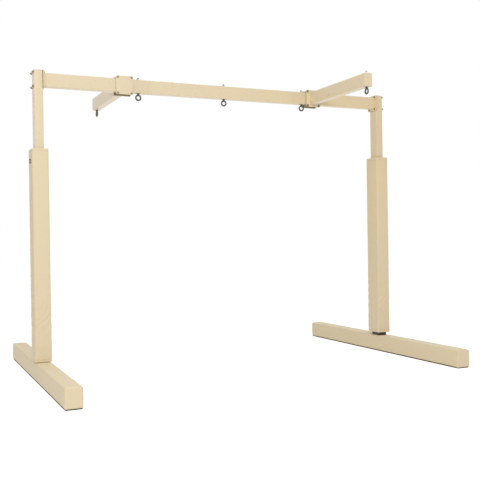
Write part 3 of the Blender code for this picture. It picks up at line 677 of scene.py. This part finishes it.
def soft_field(round_share, along, cells, seed):
    """Smooth random field from -1 to 1 that repeats in the first direction.

    Seeded values on a lattice, joined by cosine blends in both directions.
    """
    across_cells, along_cells = cells
    lattice = np.random.RandomState(seed).uniform(-1, 1, (across_cells, along_cells + 2))
    u = (round_share % 1.0) * across_cells
    v = np.clip(along, 0, 1) * along_cells
    i, j = np.floor(u).astype(int), np.floor(v).astype(int)
    a = (1 - np.cos(math.pi * (u - i))) / 2
    b = (1 - np.cos(math.pi * (v - j))) / 2
    i %= across_cells
    k = (i + 1) % across_cells
    low = lattice[i, j] * (1 - a) + lattice[k, j] * a
    high = lattice[i, j + 1] * (1 - a) + lattice[k, j + 1] * a
    return low * (1 - b) + high * b


def settled(start, held):
    """Cloth simulation of an open tube of vinyl over foam: where its points come to rest.

    The cloth is cut a thousandth larger than the foam, held at its rims, its corner seams and its
    fastenings, and pressed outwards lightly for twenty frames.
    """
    rows, columns = start.shape[:2]
    index = np.arange(rows * columns).reshape(rows, columns)
    index = np.hstack([index, index[:, :1]])
    quads = np.stack([index[:-1, :-1], index[:-1, 1:], index[1:, 1:], index[1:, :-1]], axis=-1)
    cloth = meshed("settling cloth", start.reshape(-1, 3), quads.reshape(-1, 4).tolist())
    cloth.vertex_groups.new(name="held").add(np.flatnonzero(held).tolist(), 1.0, 'REPLACE')
    step = cloth.modifiers.new("settling", 'CLOTH')
    fabric = step.settings
    fabric.vertex_group_mass = "held"
    fabric.shrink_min = fabric.shrink_max = -0.001
    fabric.use_pressure = True
    fabric.uniform_pressure_force = 0.6
    fabric.effector_weights.gravity = 0.0
    fabric.mass = 0.4
    fabric.tension_stiffness = fabric.compression_stiffness = 30.0
    fabric.shear_stiffness = 12.0
    fabric.bending_stiffness = 3.0
    fabric.air_damping = 3.0
    step.point_cache.frame_end = CLOTH_FRAMES
    scene = bpy.context.scene
    for moment in range(1, CLOTH_FRAMES + 1):
        scene.frame_set(moment)
    rest = cloth.evaluated_get(bpy.context.evaluated_depsgraph_get()).data
    places = np.empty(rows * columns * 3)
    rest.vertices.foreach_get("co", places)
    bpy.data.objects.remove(cloth)
    scene.frame_set(1)
    return places.reshape(start.shape)


def share_round(ring):
    """How far round a closed outline each of its points lies, from 0 to 1."""
    run = run_round(ring)
    return run[:-1] / run[-1]


class Relief:
    """Puffs and creases of a box-shaped cover from a cloth simulation, in metres out of its surface.

    The tube stands on its outline.  The pinch tells from a point's x, y and height how far it is
    drawn in; it is taken out of the result again, so that only what the cloth adds is left.
    """

    def __init__(self, section, cells, length, pinch, seed):
        ring, way = outline(*section, cells, 2)
        self.round = share_round(ring)
        self.along = np.arange(0, length, CLOTH_ROW) / length
        self.out = np.zeros((len(self.along), len(ring)))
        along = self.along[:, None]
        level = along * length
        x, y = ring.T[:, None]
        drawn = pinch(x, y, level, way[None])
        waves = soft_field(self.round[None, :] + 0.8 * along, along, (10, 30), seed)
        foam = points_at(x, y, level)
        normal = lifted(way, 0.0)[None]
        start = foam + normal * (0.0006 * waves - drawn)[:, :, None]
        held = drawn > 0.003
        held[[0, -1]] = True
        held[:, np.abs(way).min(axis=1) > 0.5] = True
        rise = ((settled(start, held) - foam) * normal).sum(axis=2) + drawn
        self.out = np.clip(rise, -0.004, 0.006)

    def at(self, ring, along):
        """The relief at the points of a finer outline and rows, by straight lines and one blur."""
        column = np.interp(share_round(ring), np.append(self.round, 1.0), np.arange(len(self.round) + 1))
        row = np.interp(along, self.along, np.arange(len(self.along)))
        i = np.minimum(row.astype(int), len(self.along) - 2)
        j = column.astype(int)
        a = (row - i)[:, None]
        b = (column - j)[None, :]
        k = (j + 1) % len(self.round)
        low = self.out[i][:, j] * (1 - b) + self.out[i][:, k] * b
        high = self.out[i + 1][:, j] * (1 - b) + self.out[i + 1][:, k] * b
        fine = low * (1 - a) + high * a
        fine = (np.roll(fine, 1, axis=1) + 2 * fine + np.roll(fine, -1, axis=1)) / 4
        return (np.vstack([fine[:1], fine[:-1]]) + 2 * fine + np.vstack([fine[1:], fine[-1:]])) / 4


PAD_HALF_X = 0.060
PAD_HALF_Y = 0.082
PAD_LENGTH = 1.545
PAD_EDGE = 0.010
PAD_RIM = 0.004
PAD_FIT = 0.0004
PAD_CELLS = (26, 36)
CROWN_X = 0.0012
CROWN_Y = 0.0016
HEM_RISE = 0.017
HEM_WIDE = 0.0026
HEM_DRAW = 0.0019
SEAM_X = 0.004
SCREW_RISE = 1.455
FOLD_PITCH = 0.072
FOLDS_ROUND = 10
FOLD_DEPTH = 0.0042
RELIEF_SHARE = 0.4

LEG_HALF_X = 0.057
LEG_HALF_Y = 1.106
LEG_LOW = 0.0053
LEG_TOP = 0.1388
LEG_EDGE = 0.009
LEG_LIFT = 0.003
LEG_HEM_RISE = 0.009
LEG_HEM_PITCH = 0.0085
LEG_SECTION = (LEG_HALF_X, (LEG_TOP - LEG_LOW) / 2, (LEG_EDGE, LEG_EDGE, 0.004, 0.004))
LEG_TUNNEL = (0.0321, 1.0783, -0.02, 0.1072)
LEG_MOUTH = (0.0385, 0.05755, 0.1054, 0.16)


def screw_pinch(x, y, level, way):
    """How far the sleeve is drawn in round its two clamp screws, on its -X side."""
    rise = level - SCREW_RISE
    return 0.0052 * np.clip(-way[..., 0], 0, 1) * bell(np.hypot(y, rise * 0.75), 0.021)


def mouth_pinch(x, z, level, way):
    """How far the leg cover's top is drawn down round the post."""
    out = np.hypot(np.maximum(np.abs(x) - 0.040, 0), np.maximum(np.abs(level - LEG_HALF_Y) - 0.060, 0))
    return 0.0042 * np.clip(way[..., 1], 0, 1) * bell(out, 0.034)


def crowned(x, y):
    """Places on the sleeve's outline, drawn in by crown (position across)^2 towards the corners."""
    across, deep = x / PAD_HALF_X, y / PAD_HALF_Y
    return x - across * CROWN_X * deep ** 2, y - deep * CROWN_Y * across ** 2


def post_cover(under, seam_side, relief):
    """Padded post sleeve as one closed skin: up the outside, over the rim, down the bore.

    A point is the crowned outline at its row, drawn in by a bell curve at each hem with small
    puckers and by bells round the two clamp screws, and moved by soft random fields that slant
    across the sleeve.  Low down, diagonal creases are the absolute sine of the height over their
    pitch less ten times the share of the way round.  All of it fades out on the ends.
    """
    high = under + PAD_LENGTH
    outer, way = outline(PAD_HALF_X, PAD_HALF_Y, PAD_EDGE, PAD_CELLS, 7)
    bore, _ = outline(LOWER_WIDE / 2 + PAD_FIT, LOWER_DEEP / 2 + PAD_FIT, LOWER_CORNER, PAD_CELLS, 7)
    share = (np.arange(len(outer)) / len(outer))[None, :]

    rim = np.linspace(0, math.pi / 2, 5)
    near = np.concatenate([np.arange(PAD_RIM, 0.03, 0.0016), np.arange(0.03, 0.09, 0.003)])
    middle = np.arange(0.09, PAD_LENGTH - 0.09, 0.0055)
    side = under + np.concatenate([near, middle, PAD_LENGTH - near[::-1]])
    foot = under + PAD_RIM * (1 - np.cos(rim[:-1]))
    crest = high - PAD_RIM * (1 - np.cos(rim[-2::-1]))
    z = np.concatenate([foot, side, crest])[:, None]
    tuck = PAD_RIM * np.concatenate([1 - np.sin(rim[:-1]), 0 * side, 1 - np.sin(rim[-2::-1])])[:, None]

    x, y = outer.T[:, None]
    way_x, way_y = way.T[:, None]
    on_outer = np.clip(-way_x, 0, 1)
    on_seam = np.clip(way_y * seam_side, 0, 1)
    along = (z - under) / PAD_LENGTH
    from_end = np.minimum(z - under, high - z)
    flat_end = 1 - np.clip(tuck / PAD_RIM, 0, 1)
    hem = bell(z - under - HEM_RISE, HEM_WIDE) + bell(high - HEM_RISE - z, HEM_WIDE)
    girth = share * 2 * math.pi
    pucker = np.sin(girth * 66 + 3 * np.sin(girth * 5)) * 0.5 + np.sin(girth * 41 + 1.3) * 0.5
    draw = HEM_DRAW * hem * (1 + 0.25 * pucker)
    draw = draw + 0.00022 * pucker * np.exp(-np.abs(from_end - HEM_RISE) / 0.010)
    slant = soft_field(share + 0.55 * along, along, (9, 34), 11)
    lean = soft_field(share - 0.35 * along, along, (14, 60), 12)
    broad = soft_field(share + 0 * along, along, (6, 12), 13)
    folds = 0.00045 * slant * (0.6 + 1.6 * bell(along - 0.12, 0.16)) + 0.0002 * lean + 0.0005 * broad
    bulge = np.abs(np.sin(math.pi * (z / FOLD_PITCH - FOLDS_ROUND * share) + 1.1 * slant + 0.5 * lean))
    folds = folds + FOLD_DEPTH * bell(along - 0.21, 0.09) * np.clip(0.65 + 0.6 * broad, 0, 1) * (bulge - 0.6)
    lift = z - CLAMP_Z
    gather = soft_field(0.5 + y / 0.5 + 0 * z, (z - 1.50) / 0.18, (7, 10), 14)
    crumple = bell(lift - 0.05, 0.022) + 0.7 * bell(lift + 0.045, 0.018)
    draw = draw + screw_pinch(x, y, lift + SCREW_RISE, way[None])
    draw = draw + on_outer * 0.0017 * crumple * (0.35 + gather)
    flare = 0.0035 * bell(along, 0.16) * np.clip(way_x, 0, 1)
    puff = RELIEF_SHARE * relief.at(outer, along[:, 0]) + flare
    seam = 0.0011 * bell(x - SEAM_X, 0.0016) * on_seam
    flap = np.where(x * seam_side < SEAM_X * seam_side, 0.0, 0.0006) * on_seam
    draw = draw + tuck - (puff * (1 - 0.7 * hem) + folds - seam - flap) * flat_end
    crown_x, crown_y = crowned(x, y)
    wall = points_at(crown_x - way_x * draw, crown_y - way_y * draw, z)

    inward = np.array([0.12, 0.4, 0.7, 0.92, 1.0])[:, None, None]
    lower_end = wall[0] * (1 - inward) + lifted(bore, under) * inward
    upper_end = wall[-1] * (1 - inward) + lifted(bore, high) * inward
    level = np.linspace(high, under, 90)[1:-1, None]
    bore_x, bore_y = bore.T[:, None]
    bolt_room = (np.abs(bore_y) < 0.0145) * (np.abs(level - FOOT_BOLTS_Z) < 0.052) * 0.016
    screw_room = (np.abs(bore_y) < 0.0135) * (np.abs(level - CLAMP_Z) < 0.0235) * 0.009
    room = bolt_room * np.abs(way_x) + screw_room * on_outer
    inside = points_at(bore_x + way_x * room, bore_y, level)
    return shell(np.concatenate([lower_end[::-1], wall, upper_end, inside]), loop=True)


def leg_cover(seed, relief):
    """Padded floor leg cover as one closed skin of rings along Y.

    A ring is the outline of the section, with round top corners and small lower ones.  The last
    rings turn in round the rim and then shrink to the middle of the end.  Crown, soft random
    fields and the lower hem move each point, and the top is drawn down where the post goes in.
    The lower edge is lifted by a share that falls to nothing at the ends and a little way up.
    """
    half_z = (LEG_TOP - LEG_LOW) / 2
    mid_z = (LEG_TOP + LEG_LOW) / 2
    ring, way = outline(*LEG_SECTION, (26, 30), 7)
    share = (np.arange(len(ring)) / len(ring))[None, :]
    rim = np.linspace(0, math.pi / 2, 9)[1:]
    near = np.concatenate([np.arange(0, 0.03, 0.0022), np.arange(0.03, 0.09, 0.004)])
    straight = LEG_HALF_Y - LEG_EDGE
    middle = np.arange(0.09 - straight, straight - 0.09, 0.0065)
    end_y = LEG_EDGE * np.sin(rim)
    end_tuck = LEG_EDGE * (1 - np.cos(rim))
    y = np.concatenate([-straight - end_y[::-1], near - straight, middle, straight - near[::-1],
                        straight + end_y])[:, None]
    tuck = np.concatenate([end_tuck[::-1], np.zeros(len(y) - 2 * len(rim)), end_tuck])[:, None]

    x, z = ring.T[:, None]
    way_x, way_z = way.T[:, None]
    across = x / LEG_HALF_X
    side = z / half_z
    rise = (side + 1) / 2
    along = (y + LEG_HALF_Y) / (2 * LEG_HALF_Y)
    at_end = np.abs(y / LEG_HALF_Y) ** 20
    broad = soft_field(share + 0 * y, along, (6, 22), seed)
    slant = soft_field(share + 1.2 * along, along, (10, 64), seed + 1)
    fine = soft_field(share - 0.9 * along, along, (16, 120), seed + 2)
    not_low = np.clip((rise - 0.06) / 0.15, 0, 1)
    loose = not_low * (1 - np.clip(tuck / LEG_EDGE, 0, 1))
    folds = 0.0006 * broad + 0.0004 * slant + 0.00016 * fine
    hem = bell(rise * 2 * half_z - LEG_HEM_RISE, 0.0018) * np.abs(way_x)
    girth = y * 2 * math.pi / LEG_HEM_PITCH
    stitch_draw = 0.0005 * hem * (1 + 0.3 * np.sin(girth) * np.sin(girth * 0.37))
    end_seam = 0.0006 * bell(np.abs(y) - straight + 0.0015, 0.0016) * not_low
    puff = RELIEF_SHARE * relief.at(ring, along[:, 0])
    draw = (stitch_draw + end_seam + mouth_pinch(x, z, y + LEG_HALF_Y, way[None])
            - (folds + puff) * loose + tuck)
    skin_x = x - across * 0.0017 * side ** 2 - way_x * draw
    skin_y = y - np.sign(y) * 0.002 * side ** 2 * at_end
    skin_z = z + mid_z - 0.0010 * rise * (across ** 2 + at_end) - way_z * draw
    skin_z = skin_z + LEG_LIFT * np.clip(1 - rise / 0.15, 0, 1) * (1 - bell(LEG_HALF_Y - np.abs(y), 0.05))
    wall = points_at(skin_x, skin_y, skin_z)

    shrink = np.array([0.85, 0.66, 0.46, 0.27, 0.1])[:, None, None]
    low_end, high_end = [end.mean(axis=0) * (1 - shrink) + end * shrink for end in (wall[0], wall[-1])]
    return shell(np.concatenate([low_end[::-1], wall, high_end]))


STITCH_PITCH = 0.0042
STITCH_LENGTH = 0.003
STITCH_RADIUS = 0.00035


def stitches(path, way):
    """Row of stitches: small capsules that lie along a closed path, sunk half into the cloth.

    A capsule's radius at a share t of its length is its greatest times the fourth root of
    1 - 0.9 (2t - 1)^4.
    """
    run = run_round(path)
    count = int(run[-1] / STITCH_PITCH)
    at = np.arange(count) * run[-1] / count

    def read(values, places):
        closed = np.vstack([values, values[:1]])
        return np.stack([np.interp(places, run, closed[:, i]) for i in range(3)], axis=1)

    def unit(vectors):
        return vectors / np.linalg.norm(vectors, axis=1)[:, None]

    middle = read(path, at)
    forward = unit(read(path, (at + 0.0004) % run[-1]) - middle)
    out = unit(read(way, at))
    ways = np.stack([forward, np.cross(out, forward), out], axis=1)
    share = np.array([0.0, 0.12, 0.5, 0.88, 1.0])[:, None]
    size = STITCH_RADIUS * (1 - (2 * share - 1) ** 4 * 0.9) ** 0.25
    angle = np.linspace(0, 2 * math.pi, 6, endpoint=False)
    local = points_at((share - 0.5) * STITCH_LENGTH, size * np.cos(angle), size * np.sin(angle))
    grid = middle[:, None, None] + local @ ways[:, None]
    one = shell(grid[0])
    ends = np.stack([grid[:, 0].mean(axis=1), grid[:, -1].mean(axis=1)], axis=1)
    points = np.concatenate([grid.reshape(count, -1, 3), ends], axis=1)
    offset = (np.arange(count) * points.shape[1])[:, None, None]
    return points.reshape(-1, 3), (one[1] + offset).reshape(-1, 4), (one[2] + offset).reshape(-1, 3)


def cut(made, x, half_x, half_y, low, high):
    """Takes a box with round corners out of a piece; its middle stands at x."""
    points, quads, fans = moved(slab(half_x, half_y, 0.004, low, high, 0.0005), placed(x, 0, 0))
    cutter = meshed("cutter", points, quads.tolist() + fans.tolist())
    step = made.modifiers.new("cut", 'BOOLEAN')
    step.operation = 'DIFFERENCE'
    step.solver = 'EXACT'
    step.object = cutter
    bpy.context.view_layer.update()
    graph = bpy.context.evaluated_depsgraph_get()
    result = bpy.data.meshes.new_from_object(made.evaluated_get(graph), depsgraph=graph)
    made.modifiers.clear()
    made.data = result
    bpy.data.objects.remove(cutter)


# The pieces


def pads():
    """Four padded covers and the stitching on their hems."""
    sleeve = Relief((PAD_HALF_X, PAD_HALF_Y, PAD_EDGE), (9, 13), PAD_LENGTH, screw_pinch, 3)
    cover = Relief(LEG_SECTION, (9, 10), 2 * LEG_HALF_Y, mouth_pinch, 4)
    outer, way = outline(PAD_HALF_X, PAD_HALF_Y, PAD_EDGE, PAD_CELLS, 7)
    hem = np.column_stack(crowned(*outer.T)) - way * HEM_DRAW
    for (side, x, turn), seam_side, seed in zip(SIDES, (1, -1), (21, 31)):
        body = side + "_leg"
        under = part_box(side + "_post_pad")[0].z
        place = placed(x, 0, 0, turn)
        padded = piece(side + "_padded_post_sleeve", [post_cover(under, seam_side, sleeve)], place, vinyl,
                       body, "beige_vinyl", [side + "_post_pad"], 50)
        rows = [stitches(lifted(hem, height), lifted(way, 0.0))
                for height in (under + HEM_RISE, under + PAD_LENGTH - HEM_RISE)]
        piece(side + "_sleeve_stitching", rows, place, thread, body, "beige_vinyl", crease=80)

        leg = piece(side + "_padded_leg_cover", [leg_cover(seed, cover)], place, vinyl,
                    body, "beige_vinyl", [side + "_floor_leg_pad"], 50)
        cut(leg, x, *LEG_TUNNEL)
        cut(leg, x, *LEG_MOUTH)
        creased(leg.data, 50)


def steelwork():
    """Posts, beam with its end plates, arms with their plates, caps and welds."""
    half_wide, half_high = TUBE_WIDE / 2, TUBE_HIGH / 2
    cap = domed_cap(half_wide, half_high)
    for side, x, turn in SIDES:
        low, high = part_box(side + "_upper_post")
        piece(side + "_post_tube", [box_tube(half_wide, half_high, low.z, high.z)], placed(x, 0, 0),
              post_coat, "upper_frame", "beige_paint", [side + "_upper_post"])
        piece(side + "_post_top_cap", [cap], placed(x, 0, high.z),
              cap_beige, "upper_frame", "beige_plastic", [side + "_post_cap"])

    end = POST_X - half_wide - GAP
    face = end - PLATE_THICK
    plate = (PLATE_WIDE / 2, END_PLATE_DEEP / 2, PLATE_CORNER)
    beam = [box_tube(half_high, half_wide, -face - SINK, face + SINK), slab(*plate, -end, -face),
            slab(*plate, face, end)]
    beads = [weld_bead(half_high, half_wide, BEAM_WELD, at) for at in (-face, face)]
    place = Matrix.Translation((0, 0, BEAM_MID)) @ ALONG_X
    rest = (beam_coat, "upper_frame", "beige_paint")
    piece("beam_tube_and_end_plates", beam, place, *rest, ["crossbeam"])
    piece("beam_welds", beads, place, *rest, crease=80)

    near = half_wide + GAP
    far = near + PLATE_THICK
    tip = ARM_REACH - CAP_THICK
    plate = (PLATE_WIDE / 2, CLAMP_PLATE_HIGH / 2, PLATE_CORNER)
    arm = [box_tube(half_wide, half_high, far - SINK, tip), slab(*plate, near, far)]
    bead = [weld_bead(half_wide, half_high, ARM_WELD, far)]
    loose = [slab(*plate, -far, -near)]
    for (side, x, turn), word in zip(SIDES, ("_front", "_rear")):
        place = placed(centre(side + "_clamp_plate").x, 0, BEAM_MID, turn) @ ALONG_Y
        rest = (arm_coat, side + "_arm_clamp", "beige_paint")
        piece(side + "_arm_tube_and_plate", arm, place, *rest, [side + "_arm"])
        piece(side + "_arm_weld", bead, place, *rest, crease=80)
        piece(side + word + "_clamp_plate", loose, place, *rest, [side + "_clamp_plate"])
        at_tip = place @ Matrix.Translation((0, 0, tip))
        piece(side + "_arm_end_cap", [cap], at_tip, *rest, [side + "_arm_cap"])


def hung_ring(owner, tail, body, turn=0.0):
    """Eyebolt below a tube and its nut on top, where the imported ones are."""
    node = f"{owner}_eyebolt{tail}"
    nut = f"{owner}_eyebolt_nut{tail}"
    place = placed(*centre(node).xy, BEAM_UNDER, turn)
    piece(f"{owner}_ring{tail}", forged_eye(), place, forged, body, "zinc_plate", [node], 40)
    piece(f"{owner}_ring_nut{tail}", eye_nut(), place, zinc, body, "zinc_plate", [nut], 28)


def fasteners():
    """Bolts, lock nuts, eyebolts and clamp screws."""
    far = TUBE_WIDE / 2 + GAP + PLATE_THICK
    bolt = through_bolt(-far, TUBE_WIDE / 2)
    for (side, x, turn), depth, height in product(SIDES, ("back", "front"), ("upper", "lower")):
        node = f"{side}_beam_bolt_{depth}_{height}"
        middle = centre(node)
        place = placed(x, middle.y, middle.z, turn + math.pi) @ ALONG_X
        piece(f"{side}_post_bolt_{depth}_{height}", bolt, place, dark_plate, "upper_frame", "dark_steel",
              [node], 28)

    bolt = through_bolt(-far, far)
    for (side, x, turn), reach, height in product(SIDES, ("outer", "inner"), ("upper", "lower")):
        node = f"{side}_clamp_bolt_{reach}_{height}"
        middle = centre(node)
        place = placed(middle.x, 0, middle.z, turn) @ ALONG_Y
        piece(f"{side}_arm_bolt_{reach}_{height}", bolt, place, dark_plate, side + "_arm_clamp", "dark_steel",
              [node], 28)

    for word in ("left", "centre", "right"):
        hung_ring("beam", "_" + word, "upper_frame")
    for side, x, turn in SIDES:
        hung_ring(side + "_arm", "", side + "_arm_clamp", math.pi / 2)

    outwards = Matrix.Rotation(-math.pi / 2, 4, 'Y')
    for (side, x, turn), (word, half) in product(SIDES, (("upper", 1), ("lower", -1))):
        place = placed(x, 0, CLAMP_Z + half * CLAMP_PITCH / 2, turn) @ outwards
        piece(f"{side}_{word}_thumb_screw", thumb_screw(), place, knob_black, f"{side}_{word}_screw",
              "black_plastic", [f"{side}_{word}_clamp_screw"], 40)


def carried_over():
    """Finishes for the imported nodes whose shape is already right."""
    finishes = {"_floor_leg_tube": black_paint, "_floor_strip": rubber, "_lower_post": black_paint,
                "_post_bushing": nylon, "_foot_bolt_lower": zinc, "_foot_bolt_upper": zinc}
    for (side, x, turn), (name, finish) in product(SIDES, finishes.items()):
        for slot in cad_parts[side + name].material_slots:
            slot.material = finish


# Studio


def studio():
    """White floor that keeps the shadow, even white sky, wide sun overhead, soft lamp at the front left."""
    white = (1, 1, 1, 1)
    lit = Paint("white studio floor")
    lit.set(Base_Color=(0.77, 0.77, 0.77, 1), Roughness=1.0, Specular_IOR_Level=0.0)
    glow = lit.node("ShaderNodeEmission", None, {"Color": white, "Strength": lit.seen() * 0.33 + 0.19})
    both = lit.node("ShaderNodeAddShader", None, {0: Tone(lit, lit.shader.outputs[0]), 1: glow})
    lit.feed(lit.tree.nodes["Material Output"].inputs, {"Surface": both})
    floor = meshed("studio_floor", [(-30, -30, 0), (30, -30, 0), (30, 30, 0), (-30, 30, 0)], [(0, 1, 2, 3)])
    floor.data.materials.append(lit.material)

    world = bpy.data.worlds.new("studio")
    bpy.context.scene.world = world
    world.use_nodes = True
    sky = Nodes(world.node_tree)
    strength = sky.node("ShaderNodeMapRange", None, {"Value": sky.seen(), "To Min": 0.40, "To Max": 1.0})
    sky.feed(sky.tree.nodes["Background"].inputs, {"Color": white, "Strength": strength})

    above = bpy.data.lights.new("light from above", 'SUN')
    above.energy = 0.8
    above.angle = math.radians(60)
    added("light from above", above)

    front = bpy.data.lights.new("soft front light", 'AREA')
    front.shape = 'SQUARE'
    front.size = 2.6
    front.energy = 173.0
    lamp = added("soft front light", front)
    lamp.location = (-2.6, -6.0, 4.4)
    aim = Vector((-0.3, 0.0, 1.2)) - lamp.location
    lamp.rotation_euler = aim.to_track_quat('-Z', 'Y').to_euler()

    bpy.context.scene.view_settings.view_transform = 'Standard'


def camera():
    """Camera at the photograph's viewpoint, from its yaw, pitch and roll in radians."""
    yaw, pitch, roll = 0.42650, -0.00356, -0.01497
    forward = Vector((math.sin(yaw) * math.cos(pitch), math.cos(yaw) * math.cos(pitch), math.sin(pitch)))
    level = Vector((math.cos(yaw), -math.sin(yaw), 0.0))
    up = level.cross(forward)
    right = level * math.cos(roll) + up * math.sin(roll)
    up = up * math.cos(roll) - level * math.sin(roll)
    view = bpy.data.cameras.new("camera")
    view.sensor_width = 36.0
    view.lens = 56.534
    view.clip_end = 200.0
    made = added("camera", view)
    turn = Matrix((right, up, -forward)).transposed().to_4x4()
    made.matrix_world = Matrix.Translation((-2.42801, -5.62317, 1.01969)) @ turn
    bpy.context.scene.camera = made


camera()
studio()
carried_over()
steelwork()
fasteners()
pads()
